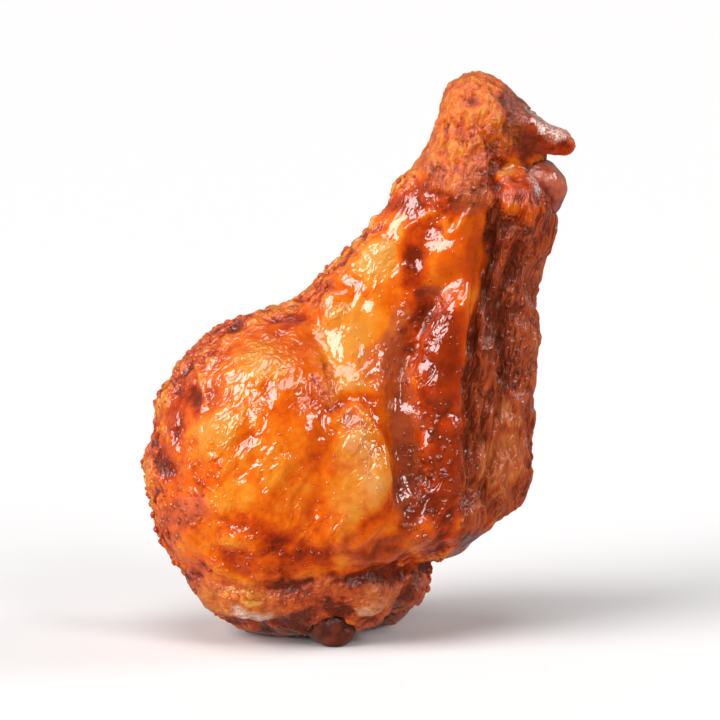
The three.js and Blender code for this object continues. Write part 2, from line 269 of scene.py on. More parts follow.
# Zones of relief and gloss, as soft ellipses without a tone.
WRINKLED = {
    "front": [
        (-17, 37, 6.5, 9.5, -15),
        (-11, 41, 3, 4, 0),
        (-19, 28, 6, 5, 0),
        (-26, 27, 3, 6, 0),
        (-13, 16, 12, 4.5, 0),
        (-11, 24, 4, 5, 0),
        (-7.2, 35, 2.2, 3.4, 0),
        (0, 27.5, 3.6, 6, -20),
        (1.2, 54.5, 3.2, 5.5, -38),
        (-3, 46, 2.6, 2.4, 20),
        (11, 19, 4.4, 7, 0),
        (9, 44, 3, 7, -30),
        (9.5, 61.5, 4, 2.5, 0),
    ],
    "back": [
        (-12, 34, 8, 8, 10),
        (1, 46, 4, 6, -25),
        (-4, 22, 5, 5, 0),
        (-19, 24, 6, 10, 0),
        (10, 56, 4, 6, -20),
    ],
}
BEADED = {
    "front": [
        (11, 24, 5, 9, 0),
        (9, 15.5, 5, 3.4, 15),
        (7, 42, 4.6, 7, -15),
        (-25, 20, 4, 9, -20),
        (-13, 11.6, 11, 3.4, 0),
        (-4, 5.4, 7, 3, 0),
        (8, 6, 4, 3, 0),
        (15.5, 70, 6.5, 10, 0),
        (22.5, 45, 4, 12, 0),
    ],
    "back": [(8, 26, 6, 9, 0)],
}
SATIN = {
    "front": [(-24.5, 18, 2.4, 4, -30)],
    "back": [(-2, 44, 3, 4, -25)],
}
SLEEK = {
    "front": [(13, 42, 3.4, 10, -8), (15, 55, 4, 8, -9), (-1, 42, 4.6, 6, -25), (12.6, 26, 2.4, 8, 0)],
    "back": [(12, 40, 3.4, 10, -8), (15, 55, 4, 8, -9)],
}
KNUCKLE = [(15.6, 75, 8.4, 9.6, 0), (12, 66.4, 4.6, 3.2, -30), (16.5, 65, 3.6, 4, 0)]
NUB = [(23.2, 62.8, 4.2, 4.2, 0)]
FLAP = [(28.6, 72, 4.4, 3.6, -20)]
# Zones of nearly white speckle: real pale tissue at the base, and painted highlight standing for the glints
# on the flap's top and beside the nub.
FILM_AND_GLINT_ZONES = [(27.4, 74, 4.6, 1.9, -40), (-15, 3.8, 2.8, 1.2, -12), (24.9, 65.6, 2.2, 1.3, -38)]
LOBE_FLANK = (3, 28, 7, 16, 0)

# The line where the ridge of skin ends and the bare meat begins, and the heights between which kinds fade.
RIDGE_LINE = [(14.8, 18), (15.1, 26), (14.6, 33), (14.7, 38.6)]
RIDGE_LINE += [(16, 45.6), (17.4, 52.6), (18.3, 60.5), (19.1, 64)]
MEAT_BEGINS, MEAT_ENDS = (14, 18), (62, 66)
BASE_ENDS = (8.0, 10.4)
NECK_BEGINS = (44, 50)

# Which way the patterns run, in degrees up from across.
WRINKLES_RUN, FIBRES_RUN, SHREDS_RUN = 58, 82, -62

# Heights, in millimetres, of the relief that has no size of its own in the sidebar.
SKIN_SWELLS, SKIN_RIPPLES = 0.42, 0.14
KNUCKLE_SHREDS, KNUCKLE_LUMPS = 0.42, 0.45
FLAP_FOLDS = 0.2
BASE_LUMPS = 0.5
KNOB_GROWTH = 0.2
RESTS_BELOW = 0.25  # what is lower than this touches the surface
BIT_LUMPS = 0.4  # of a crumb or torn bit, as a share of its size


def smoothstep(low, high, value):
    share = np.clip((value - low) / (high - low), 0, 1)
    return share * share * (3 - 2 * share)


def on_plane(points):
    """Across and up on the leaning plane, in millimetres, of points in millimetres."""
    return points[:, 0], points[:, 2] * math.cos(LEAN) + points[:, 1] * math.sin(LEAN)


SEED_STEP = 13.7  # how far apart in the noise two seeds read it
GRANULE_RADIUS = 0.75  # as a share of the granules' spacing


def noise_at(points, spacing, seed, stretch=(1, 1, 1)):
    """Smooth noise from about -1 to 1 with lumps a given number of millimetres apart."""
    scaled = points / (np.array(stretch) * spacing) + seed * SEED_STEP
    return np.array([noise.noise(p) for p in scaled.tolist()])


def cells_at(points, spacing, seed):
    """Rounded granules: 1 at the middle of each and 0 at the gaps between them."""
    scaled = points / spacing + seed * SEED_STEP
    nearest = np.array([noise.voronoi(p)[0][0] for p in scaled.tolist()])
    return 1 - np.clip(nearest / GRANULE_RADIUS, 0, 1) ** 2


def warped(points, amount, spacing, seed):
    """Points pushed about by noise, which makes a pattern read at them run unevenly."""
    push = [noise_at(points, spacing, seed + i) for i in range(3)]
    return points + amount * np.stack(push, axis=1)


def turned(points, degrees):
    """Points turned about Y, so that a pattern drawn out along X runs at that angle up from it."""
    c, s = math.cos(math.radians(degrees)), math.sin(math.radians(degrees))
    x, y, z = points.T
    return np.stack([x * c + z * s, y, z * c - x * s], axis=1)


def folds_at(points, spacing, seed, stretch=(1, 1, 1)):
    """Smooth facets that meet in sharp creases, as in crumpled film: from about -0.5 to 0.5."""
    return 0.5 - 2.2 * np.abs(noise_at(points, spacing, seed, stretch))


def ellipse(across, up, zone, inner=0.62, outer=1.16):
    """1 inside a zone and 0 outside, with a soft edge."""
    centre_across, centre_up, half_width, half_height, turn = zone[:5]
    c, s = math.cos(math.radians(turn)), math.sin(math.radians(turn))
    a, b = across - centre_across, up - centre_up
    away = np.hypot((a * c + b * s) / half_width, (b * c - a * s) / half_height)
    return 1 - smoothstep(inner, outer, away)


def any_ellipse(across, up, zones):
    return np.max([ellipse(across, up, zone) for zone in zones], axis=0)


def smooth_path(points, steps=6):
    """A path's corners rounded off by a Catmull-Rom curve."""
    ends = [points[0]] + list(points) + [points[-1]]
    out = []
    for p0, p1, p2, p3 in zip(ends, ends[1:], ends[2:], ends[3:]):
        p0, p1, p2, p3 = (np.array(p, float) for p in (p0, p1, p2, p3))
        square, cube = 2 * p0 - 5 * p1 + 4 * p2 - p3, 3 * p1 - p0 - 3 * p2 + p3
        for t in np.arange(steps) / steps:
            out.append(0.5 * (2 * p1 + (p2 - p0) * t + square * t**2 + cube * t**3))
    out.append(np.array(points[-1], float))
    return np.array(out)


def path_distance(across, up, points):
    """Distance from each place to a path, in millimetres."""
    path = smooth_path(points)
    shortest = np.full(len(across), 1e9)
    for start, end in zip(path, path[1:]):
        step = end - start
        share = ((across - start[0]) * step[0] + (up - start[1]) * step[1]) / max(step @ step, 1e-9)
        share = np.clip(share, 0, 1)
        away = np.hypot(across - start[0] - share * step[0], up - start[1] - share * step[1])
        shortest = np.minimum(shortest, away)
    return shortest


def side_share(normals, side):
    """How fully the surface faces the front or the back, or 1 for both."""
    if side == "both":
        return np.ones(len(normals))
    towards = -normals[:, 1] if side == "front" else normals[:, 1]
    return smoothstep(-0.1, 0.35, towards)


# ---------------------------------------------------------------- meshes


def sizes():
    return bpy.context.scene.drumette_sizes


def colours():
    return bpy.context.scene.drumette_colours


def new_piece(name, mesh):
    piece = bpy.data.objects.new(name, mesh)
    bpy.context.scene.collection.objects.link(piece)
    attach(piece, "root")
    return piece


def merged_copy(node):
    """A CAD node's mesh with its loose triangles joined at their corners."""
    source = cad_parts[node]
    bm = bmesh.new()
    bm.from_mesh(source.data)
    bm.transform(source.matrix_world)
    bmesh.ops.remove_doubles(bm, verts=bm.verts, dist=1e-6)
    mesh = bpy.data.meshes.new(node + "_merged")
    bm.to_mesh(mesh)
    bm.free()
    return mesh


def evenly_meshed(name, mesh, voxel, rounding, relax):
    """Rounds a mesh's facets off and gives it an even mesh with the given edge length."""
    carrier = bpy.data.objects.new(name, mesh)
    bpy.context.scene.collection.objects.link(carrier)
    facets = carrier.modifiers.new("Rounded facets", "SUBSURF")
    facets.levels = facets.render_levels = rounding
    even = carrier.modifiers.new("Even mesh", "REMESH")
    even.mode = "VOXEL"
    even.voxel_size = voxel
    even.use_smooth_shade = True
    soften = carrier.modifiers.new("Softened", "SMOOTH")
    soften.factor = 0.5
    soften.iterations = relax
    graph = bpy.context.evaluated_depsgraph_get()
    out = bpy.data.meshes.new_from_object(carrier.evaluated_get(graph))
    bpy.data.objects.remove(carrier)
    bpy.data.meshes.remove(mesh)
    out.name = name
    return out


def points_of(mesh):
    """The mesh's points in millimetres and its unit normals."""
    points = np.empty(len(mesh.vertices) * 3)
    mesh.vertices.foreach_get("co", points)
    normals = np.empty(len(mesh.vertices) * 3)
    mesh.vertex_normals.foreach_get("vector", normals)
    return points.reshape(-1, 3) / MM, normals.reshape(-1, 3)


def move_points(mesh, points):
    mesh.vertices.foreach_set("co", (points * MM).ravel())
    mesh.update()


def read(mesh, name):
    values = np.empty(len(mesh.vertices))
    mesh.attributes[name].data.foreach_get("value", values)
    return values


def store(mesh, name, values):
    """Keeps a number for each point of the mesh, which its material reads."""
    field = mesh.attributes.new(name, "FLOAT", "POINT")
    field.data.foreach_set("value", np.clip(values, 0, 1).astype(np.float32))


# ---------------------------------------------------------------- the skin's form


def paint_tones(tone, across, up, zones, share=1.0):
    """Covers the browning and bareness of each point with each zone's in turn."""
    for zone in zones:
        cover = (ellipse(across, up, zone) * share)[:, None]
        tone = tone + (np.array(zone[5:]) - tone) * cover
    return tone


def cover_tone(tone, new, share):
    return tone + (np.array(new) - tone) * share[:, None]


def zone_shares(points, normals):
    """What kind of surface every point has, and its browning and bareness."""
    ragged = warped(warped(points, 1.4, 5.0, seed=1), 0.8, 1.6, seed=5)
    across, up = on_plane(ragged)
    front, back = side_share(normals, "front"), side_share(normals, "back")
    shares = {}
    for name, zones in (("wrinkled", WRINKLED), ("beaded", BEADED), ("satin", SATIN), ("sleek", SLEEK)):
        on_front = any_ellipse(across, up, zones["front"]) * front
        on_back = any_ellipse(across, up, zones["back"]) * back
        shares[name] = np.maximum(on_front, on_back)
    for name, zones in (("knuckle", KNUCKLE), ("nub", NUB), ("flap", FLAP), ("film", FILM_AND_GLINT_ZONES)):
        shares[name] = any_ellipse(across, up, zones)
    # Limits the film zones, whose nearly white speckle is partly painted highlight, to the front, the flap
    # and the nub.
    shares["film"] *= np.maximum(front, np.maximum(shares["flap"], shares["nub"]))
    wander = 0.22 * noise_at(points, 6, seed=83) + 0.16 * noise_at(points, 2.2, seed=85)
    edge_on = 1 - smoothstep(0.2, 0.62, np.abs(normals[:, 1]) + wander)
    ridge_across, ridge_up = zip(*RIDGE_LINE)
    ridge = np.interp(up, ridge_up, ridge_across)
    meat = smoothstep(-0.5, 0.5, across - ridge)
    meat = meat * smoothstep(*MEAT_BEGINS, up) * (1 - smoothstep(*MEAT_ENDS, up))
    base = 1 - smoothstep(*BASE_ENDS, up)
    crust = edge_on * (1 - meat) * (1 - shares["knuckle"]) * (1 - shares["flap"]) * (1 - shares["nub"])
    # The steep sides of the ridge and of the second lobe are smooth.
    crust *= smoothstep(1.5, 3.5, np.abs(across - ridge)) * (1 - ellipse(across, up, LOBE_FLANK))
    shares["meat"], shares["base"] = meat, base
    shares["crust"] = np.maximum(crust, 0.5 * base)

    tone = np.tile(SKIN_TONE, (len(points), 1))
    tone = paint_tones(tone, across, up, FRONT_TONES, front)
    tone = paint_tones(tone, across, up, BACK_TONES, back)
    for side, path, half_width, browning, bareness in BANDS:
        near = 1 - smoothstep(0.55, 1.3, path_distance(across, up, path) / half_width)
        tone = cover_tone(tone, (browning, bareness), near * side_share(normals, side))
    neck = smoothstep(*NECK_BEGINS, up)
    tone = cover_tone(tone, RIM_CRUST_TONE, crust * (1 - neck) * 0.8)
    tone = cover_tone(tone, NECK_CRUST_TONE, crust * neck * 0.6)
    tone = cover_tone(tone, MEAT_TONE, meat)
    tone = paint_tones(tone, across, up, FRONT_MEAT_TONES, meat * np.maximum(front, 0.3))
    tone = cover_tone(tone, BASE_TONE, base)
    tone = paint_tones(tone, across, up, BASE_TONES, base)
    tone = paint_tones(tone, across, up, ELBOW_TONES)
    shares["browning"], shares["bare"] = tone[:, 0], tone[:, 1]
    return shares


def skin_relief(points, normals, shares):
    """Height of the skin's creases, wrinkles, granules and fibres above the smooth form, in millimetres."""
    size = sizes()
    height = np.zeros(len(points))
    loose = warped(points, 0.5, 3.0, seed=11)
    across, up = on_plane(loose)
    for side, path, width, depth in CREASES.values():
        away = path_distance(across, up, path)
        height -= depth * side_share(normals, side) * np.exp(-((away / width) ** 2))
    for side, pit_across, pit_up, radius, depth in PITS.values():
        away = np.hypot(across - pit_across, up - pit_up)
        height -= depth * side_share(normals, side) * np.exp(-((away / radius) ** 2))
    for side, *lump, rise in LUMPS.values():
        height += rise * side_share(normals, side) * ellipse(across, up, lump, inner=0.1, outer=1.3)

    wrinkled, meat, crust = (shares[name] for name in ("wrinkled", "meat", "crust"))
    knuckle = np.maximum(shares["knuckle"], 0.8 * shares["nub"])
    skin = (1 - crust) * (1 - knuckle) * (1 - meat) * (1 - 0.6 * shares["sleek"])
    patchy = smoothstep(-0.15, 0.35, noise_at(points, 5, seed=35))
    folded = np.clip(wrinkled + 0.3 * skin * patchy, 0, 1)
    crinkled = warped(turned(points, WRINKLES_RUN), 1.2, 3.4, seed=21)
    large_folds = folds_at(crinkled, 3.4, seed=3, stretch=(1.6, 1, 1))
    small_folds = folds_at(crinkled, 1.9, seed=7, stretch=(1.5, 1, 1))
    height += size.wrinkle_height / MM * folded * (large_folds + 0.7 * small_folds)
    height += SKIN_SWELLS * np.clip(skin, 0.3, 1) * noise_at(points, 4.2, seed=31)
    height += SKIN_RIPPLES * skin * noise_at(crinkled, 1.8, seed=33)

    granules = cells_at(warped(points, 0.4, 1.5, seed=41), 1.35, seed=2)
    height += size.crust_height / MM * crust * (granules - 0.45 + 1.1 * noise_at(points, 2.4, seed=43))

    grain_wise = turned(points, FIBRES_RUN)
    fibres = folds_at(warped(grain_wise, 1.4, 4, seed=51), 1.5, seed=53, stretch=(4, 1, 1))
    strands = folds_at(warped(grain_wise, 2.6, 6, seed=55), 3.6, seed=57, stretch=(2.6, 1, 1))
    height += size.fibre_height / MM * meat * (fibres + 2.2 * strands)

    shredded = warped(turned(points, SHREDS_RUN), 0.9, 2.4, seed=61)
    shreds = folds_at(shredded, 1.7, seed=63, stretch=(2.2, 1, 1))
    shreds += 0.7 * noise_at(shredded, 0.9, seed=69, stretch=(1.6, 1, 1))
    height += knuckle * (KNUCKLE_SHREDS * shreds + KNUCKLE_LUMPS * noise_at(points, 2.8, seed=65))
    flap_folds = folds_at(crinkled, 1.5, seed=67) + noise_at(points, 2.4, seed=77)
    height += FLAP_FOLDS * shares["flap"] * flap_folds
    height += BASE_LUMPS * shares["base"] * noise_at(points, 3.0, seed=79)
    return height


def skin_mesh():
    mesh = evenly_meshed("glazed_skin", merged_copy("skin_and_meat"), sizes().mesh_edge, rounding=2, relax=5)
    points, normals = points_of(mesh)
    shares = zone_shares(points, normals)
    height = skin_relief(points, normals, shares)
    standing = smoothstep(0.2, 2.0, points[:, 2])  # the spots that it rests on stay flat
    points = points + normals * (height * standing)[:, None]
    points[:, 2] = np.where(points[:, 2] < RESTS_BELOW, 0, points[:, 2])
    move_points(mesh, points)
    for name, share in shares.items():
        store(mesh, name, share)
    # The material darkens the low spots by this: partly browning that gathers there, partly painted shade.
    store(mesh, "hollow", 0.5 - 0.8 * height)
    return mesh


# ---------------------------------------------------------------- materials


class Painter:
    """Builds a material's nodes. Lengths are in millimetres on the piece's own Object coordinates."""

    def __init__(self, name):
        self.material = bpy.data.materials.new(name)
        self.material.use_nodes = True
        self.tree = self.material.node_tree
        self.nodes = self.tree.nodes
        self.shader = next(n for n in self.nodes if n.type == "BSDF_PRINCIPLED")
        place = self.node("ShaderNodeTexCoord")
        scale = self.node("ShaderNodeVectorMath", operation="SCALE")
        scale.inputs["Scale"].default_value = 1 / MM
        self.link(place.outputs["Object"], scale.inputs[0])
        self.place = scale.outputs[0]

    def node(self, kind, **settings):
        node = self.nodes.new(kind)
        for key, value in settings.items():
            setattr(node, key, value)
        return node

    def link(self, out, into):
        self.tree.links.new(out, into)

    def fill(self, socket, value):
        """Links an output to a socket, or sets the socket's value."""
        if isinstance(value, bpy.types.NodeSocket):
            self.link(value, socket)
        elif hasattr(value, "__len__") and socket.type == "RGBA":
            socket.default_value = (*value[:3], 1)
        else:
            socket.default_value = value

    def maths(self, operation, a, b=0.0, c=0.0):
        node = self.node("ShaderNodeMath", operation=operation)
        for socket, value in zip(node.inputs, (a, b, c)):
            self.fill(socket, value)
        return node.outputs[0]

    def swing(self, pattern):
        """A pattern from 0 to 1 as a swing about 0."""
        return self.maths("SUBTRACT", pattern, 0.5)

    def attribute(self, name):
        return self.node("ShaderNodeAttribute", attribute_name=name).outputs["Fac"]

    def drawn_out(self, stretch, turn):
        """The place on the piece, with patterns drawn out along X and turned up from it by degrees."""
        mapping = self.node("ShaderNodeMapping", vector_type="TEXTURE")
        mapping.inputs["Scale"].default_value = stretch
        mapping.inputs["Rotation"].default_value = (0, math.radians(-turn), 0)
        self.link(self.place, mapping.inputs["Vector"])
        return mapping.outputs[0]

    def noise(self, spacing, detail, stretch=(1, 1, 1), turn=0, twist=0.0):
        where = self.place if stretch == (1, 1, 1) else self.drawn_out(stretch, turn)
        node = self.node("ShaderNodeTexNoise")
        node.inputs["Scale"].default_value = 1 / spacing
        node.inputs["Detail"].default_value = detail
        node.inputs["Distortion"].default_value = twist
        self.link(where, node.inputs["Vector"])
        return node.outputs["Fac"]

    def folds(self, pattern):
        """Smooth facets that meet in sharp creases, as in crumpled film."""
        return self.maths("ABSOLUTE", self.swing(pattern))

    def drops(self, spacing, inner, outer, share):
        """Round drops, from 1 within the inner radius to 0 past the outer one, on a share of the surface."""
        node = self.node("ShaderNodeTexVoronoi")
        node.inputs["Scale"].default_value = 1 / spacing
        self.link(self.place, node.inputs["Vector"])
        return self.maths("MULTIPLY", self.between(node.outputs["Distance"], inner, outer, 1, 0), share)

    def between(self, value, low, high, to_low=0.0, to_high=1.0):
        node = self.node("ShaderNodeMapRange", interpolation_type="SMOOTHSTEP")
        self.fill(node.inputs["Value"], value)
        for name, number in zip(("From Min", "From Max", "To Min", "To Max"), (low, high, to_low, to_high)):
            self.fill(node.inputs[name], number)
        return node.outputs["Result"]

    def blend(self, share, below, above):
        node = self.node("ShaderNodeMix", data_type="RGBA")
        self.fill(node.inputs["Factor"], share)
        # The sockets for colours have the same names as those for numbers.
        colour_a, colour_b = [s for s in node.inputs if s.type == "RGBA"]
        self.fill(colour_a, below)
        self.fill(colour_b, above)
        return next(s for s in node.outputs if s.type == "RGBA")

    def ramp(self, value, *stops):
        """A colour that changes through stops of (place, colour)."""
        node = self.node("ShaderNodeValToRGB")
        elements = node.color_ramp.elements
        for spare in range(len(stops) - len(elements)):
            elements.new(0.5)
        for element, (place, colour) in zip(elements, stops):
            element.position = place
            element.color = (*colour, 1)
        self.fill(node.inputs["Fac"], value)
        return node.outputs["Color"]

    def bump(self, rise):
        """Turns the light on the surface as a rise in millimetres would."""
        node = self.node("ShaderNodeBump")
        node.inputs["Distance"].default_value = MM
        self.link(rise, node.inputs["Height"])
        self.link(node.outputs[0], self.shader.inputs["Normal"])
        return node.outputs[0]

    def flesh(self, weight, depth):
        """Light that soaks a few millimetres into the flesh and comes out red."""
        inputs = self.shader.inputs
        inputs["Subsurface Weight"].default_value = weight
        inputs["Subsurface Radius"].default_value = (1.0, 0.3, 0.08)
        inputs["Subsurface Scale"].default_value = depth * MM
        inputs["IOR"].default_value = 1.45
        inputs["Specular IOR Level"].default_value = 0.9


SKIN_KINDS = "wrinkled beaded satin sleek knuckle nub flap film meat base crust".split()
# How much rougher and how much less glazed some kinds of surface are.
ROUGHNESS = {"crust": 0.1, "knuckle": 0.14, "meat": 0.06, "base": 0.06, "nub": 0.06, "satin": 0.5}
LESS_GLAZED = {"meat": -0.3, "knuckle": -0.3, "base": -0.1, "satin": -0.5}
# How strongly each pattern shifts the browning; the shift by the hollow darkens the low spots of the relief,
# partly as browning and partly as painted shade.
BROWNING_AND_SHADE_SHIFTS = {"broad": 0.26, "middle": 0.36, "small": 0.28, "hollow": 0.48}
# Relief too fine for the mesh: pattern, kind of surface, height in millimetres.
FINE_RELIEF = [
    ("droplets", "skin", 0.12),
    ("crinkle", "wrinkled", -0.5),
    ("fine crinkle", "wrinkled", -0.2),
    ("crinkle", "skin", -0.16),
    ("beads", "beaded", 0.4),
    ("small", "crust", 0.4),
    ("crinkle", "crust", -0.4),
    ("fibre", "meat", 0.3),
    ("fibre", "knuckle", 0.5),
    ("strand", "meat", 1.6),
    ("small", "grainy", 0.25),
    ("fine crinkle", "knuckle", -0.4),
    ("fine", "knuckle", 0.2),
    ("crinkle", "flap", -0.4),
    ("fine crinkle", "flap", -0.25),
    ("small", "base", 0.25),
    ("small", "nub", 0.2),
    ("crinkle", "nub", -0.4),
]


def skin_kinds(paint):
    """The share of each kind of surface, as kept on the mesh or as it follows from others."""
    kinds = {name: paint.attribute(name) for name in SKIN_KINDS}
    kinds["grainy"] = paint.maths("MAXIMUM", kinds["crust"], kinds["knuckle"])
    kinds["fibrous"] = paint.maths("MAXIMUM", kinds["meat"], kinds["knuckle"])
    kinds["skin"] = paint.maths("SUBTRACT", 1, kinds["fibrous"])
    return kinds


def skin_patterns(paint):
    """The noise, folds and drops that the skin's colour, gloss and relief share."""
    middle, small = paint.noise(1.7, 3, twist=0.3), paint.noise(0.75, 3)
    return {
        "hollow": paint.attribute("hollow"),
        "broad": paint.noise(4.5, 2),
        "middle": middle,
        "small": small,
        "fine": paint.noise(0.33, 2),
        "fibre": paint.noise(0.8, 3, stretch=(5, 1, 1), turn=80, twist=1.6),
        "strand": paint.folds(paint.noise(1.7, 2, stretch=(3.6, 1, 1), turn=76, twist=1.2)),
        "crinkle": paint.folds(paint.noise(1.7, 1, stretch=(1.7, 1, 1), turn=60, twist=0.7)),
        "fine crinkle": paint.folds(paint.noise(0.95, 1, stretch=(1.4, 1, 1), turn=52, twist=0.6)),
        "beads": paint.drops(1.1, 0.12, 0.5, paint.between(middle, 0.45, 0.55)),
        "droplets": paint.drops(0.8, 0.1, 0.36, paint.between(small, 0.54, 0.62)),
    }


def skin_browning_and_shade(paint, kinds, patterns):
    """Browning runs unevenly, gathers in the hollows and spares the raised skin; the darkening of the
    hollows, of the gaps between granules and of the seams between strands is partly painted shade.
    """
    browning = paint.attribute("browning")
    uneven = paint.between(paint.maths("MAXIMUM", kinds["sleek"], kinds["meat"]), 0, 1, 1, 0.4)
    for name, spread in BROWNING_AND_SHADE_SHIFTS.items():
        shift = paint.maths("MULTIPLY", paint.swing(patterns[name]), uneven)
        browning = paint.maths("MULTIPLY_ADD", shift, spread, browning)
    grain = paint.maths("MULTIPLY", paint.swing(patterns["small"]), kinds["grainy"])
    browning = paint.maths("MULTIPLY_ADD", grain, 0.75, browning)
    # Darker gaps between the crust's granules, partly browning and partly painted shade.
    gap_browning_and_shade = paint.maths("MULTIPLY", paint.between(patterns["hollow"], 0.4, 0.8, -0.3, 1), kinds["crust"])
    browning = paint.maths("MULTIPLY_ADD", gap_browning_and_shade, 0.3, browning)
    strands = paint.maths("MULTIPLY", paint.swing(patterns["fibre"]), kinds["fibrous"])
    streaked = paint.between(patterns["broad"], 0.35, 0.65, 0.5, 1.5)
    browning = paint.maths("MULTIPLY_ADD", strands, streaked, browning)
    # Darker seams in the creases between the meat's strands, partly browning and partly painted shade.
    seam_browning_and_shade = paint.maths("MULTIPLY", paint.between(patterns["strand"], 0, 0.05, 0.16, 0), kinds["meat"])
    browning = paint.maths("ADD", browning, seam_browning_and_shade)
    freckles = paint.between(patterns["fine"], 0.6, 0.75, 0, 0.08)
    return paint.maths("MINIMUM", paint.maths("ADD", browning, freckles), 0.85)


def skin_colour(paint, kinds, patterns):
    tint = colours()
    browning = skin_browning_and_shade(paint, kinds, patterns)
    skin = paint.ramp(
        browning,
        (0.0, tint.pale_gold),
        (0.22, tint.golden),
        (0.42, tint.amber),
        (0.56, tint.deep_orange),
        (0.70, tint.red_brown),
        (0.84, tint.dark_glaze),
        (1.0, tint.char),
    )
    meat = paint.ramp(
        browning,
        (0.0, tint.pale_meat),
        (0.22, tint.warm_meat),
        (0.38, tint.brown_meat),
        (0.56, tint.dark_meat),
        (0.76, tint.dry_meat),
        (1.0, tint.char),
    )
    bareness = paint.maths("MULTIPLY_ADD", paint.swing(patterns["middle"]), 0.9, paint.attribute("bare"))
    colour = paint.blend(paint.between(bareness, 0.1, 0.9), skin, meat)
    flecks = paint.maths("MULTIPLY", paint.between(patterns["small"], 0.55, 0.68, 0, 0.6), kinds["knuckle"])
    colour = paint.blend(flecks, colour, tint.fleck)
    # Nearly white speckle over the film zones: pale tissue at the base, painted highlight on the flap's top
    # and beside the nub.
    torn = paint.maths("MULTIPLY_ADD", patterns["small"], 0.6, patterns["fine"])
    film = paint.maths("MULTIPLY", paint.between(torn, 0.68, 0.9, 0, 0.7), kinds["film"])
    return paint.blend(film, colour, tint.sinew_and_glint_white)


def skin_material():
    paint = Painter("glazed skin")
    kinds, patterns = skin_kinds(paint), skin_patterns(paint)
    inputs = paint.shader.inputs
    paint.fill(inputs["Base Color"], skin_colour(paint, kinds, patterns))

    rough = paint.maths("MULTIPLY_ADD", patterns["middle"], 0.06, 0.03)
    for name, amount in ROUGHNESS.items():
        rough = paint.maths("MULTIPLY_ADD", kinds[name], amount, rough)
    rough = paint.maths("MULTIPLY_ADD", patterns["beads"], -0.2, rough)
    paint.fill(inputs["Roughness"], paint.maths("MAXIMUM", rough, 0.06))

    rise = paint.maths("MULTIPLY", patterns["middle"], 0.12)
    for pattern, kind, height in FINE_RELIEF:
        share = paint.maths("MULTIPLY", patterns[pattern], kinds[kind])
        rise = paint.maths("MULTIPLY_ADD", share, height, rise)
    paint.link(paint.bump(rise), inputs["Coat Normal"])

    glaze = 0.5
    for name, amount in LESS_GLAZED.items():
        glaze = paint.maths("MULTIPLY_ADD", kinds[name], amount, glaze)
    paint.fill(inputs["Coat Weight"], paint.maths("MAXIMUM", glaze, 0))
    inputs["Coat Roughness"].default_value = 0.08
    paint.flesh(weight=0.6, depth=1.5)
    return paint.material


def bit_material(name, browning, spread, rough):
    """Skin's own colours for small bits, whose browning is a number or an attribute's name."""
    tint = colours()
    paint = Painter(name)
    small, fine = paint.noise(1.4, 2), paint.noise(0.4, 2)
    shade = paint.attribute(browning) if isinstance(browning, str) else browning
    for pattern, amount in ((small, spread), (fine, 0.3)):
        shade = paint.maths("MULTIPLY_ADD", paint.swing(pattern), amount, shade)
    stops = (tint.golden, tint.amber, tint.deep_orange, tint.red_brown, tint.dark_glaze)
    colour = paint.ramp(shade, *zip((0.1, 0.3, 0.5, 0.68, 0.86), stops))
    paint.fill(paint.shader.inputs["Base Color"], colour)
    paint.fill(paint.shader.inputs["Roughness"], paint.maths("MULTIPLY_ADD", fine, 0.2, rough - 0.1))
    paint.bump(paint.maths("MULTIPLY", fine, 0.15))
    paint.flesh(weight=0.3, depth=0.6)
    return paint.material


def cartilage_material(name, dark, light, rough, spacing):
    paint = Painter(name)
    middle, small = paint.noise(spacing, 3), paint.noise(spacing / 3, 3)
    colour = paint.blend(paint.between(middle, 0.35, 0.65), dark, light)
    colour = paint.blend(paint.between(small, 0.5, 0.75, 0, 0.5), colour, dark)
    paint.fill(paint.shader.inputs["Base Color"], colour)
    paint.fill(paint.shader.inputs["Roughness"], paint.maths("MULTIPLY_ADD", small, 0.2, rough))
    paint.bump(paint.maths("MULTIPLY", small, 0.2))
    paint.flesh(weight=0.4, depth=2.0)
    return paint.material


# ---------------------------------------------------------------- pieces


def cartilage_piece(name, node, material, lumps):
    """A knob of cartilage, grown a little so that it meets the flesh round it."""
    mesh = evenly_meshed(name, merged_copy(node), sizes().mesh_edge * 0.75, rounding=2, relax=4)
    points, normals = points_of(mesh)
    height = KNOB_GROWTH + lumps * noise_at(points, 2.0, seed=71)
    height += 0.5 * lumps * noise_at(points, 0.9, seed=73)
    points = points + normals * (height * smoothstep(0.2, 1.5, points[:, 2]))[:, None]
    points[:, 2] = np.maximum(points[:, 2], 0)
    move_points(mesh, points)
    mesh.materials.append(material)
    piece = new_piece(name, mesh)
    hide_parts(node)
    return piece


def front_spot(points, normals, across, up, at_across, at_up):
    """The point on the front of the skin that lies nearest to a place on the plane."""
    away = np.hypot(across - at_across, up - at_up) + 4 * (normals[:, 1] > -0.1)
    near = np.flatnonzero(away < away.min() + 0.3)
    return near[np.argmin(points[near, 1])]


def add_bit(bm, place, normal, radii, draw, rounding, browning=0.0):
    """A lumpy bit, half sunk into the surface. Radii and place are in millimetres."""
    # The layer comes first: adding one later would drop the corners that were just made.
    shade = bm.verts.layers.float.get("browning") or bm.verts.layers.float.new("browning")
    centre = Vector(place) * MM
    facing = Vector(normal).to_track_quat("Z", "Y").to_matrix().to_4x4()
    spin = Matrix.Rotation(draw.uniform(0, math.tau), 4, "Z")
    size = Matrix.Diagonal((*[r * MM for r in radii], 1))
    matrix = Matrix.Translation(centre) @ facing @ spin @ size
    corners = bmesh.ops.create_icosphere(bm, subdivisions=rounding, radius=1, matrix=matrix)["verts"]
    seed = Vector((draw.uniform(0, 100), 0, 0))
    for corner in corners:
        offset = corner.co - centre
        corner.co = centre + offset * (1 + BIT_LUMPS * noise.noise(offset / MM + seed))
        corner[shade] = browning


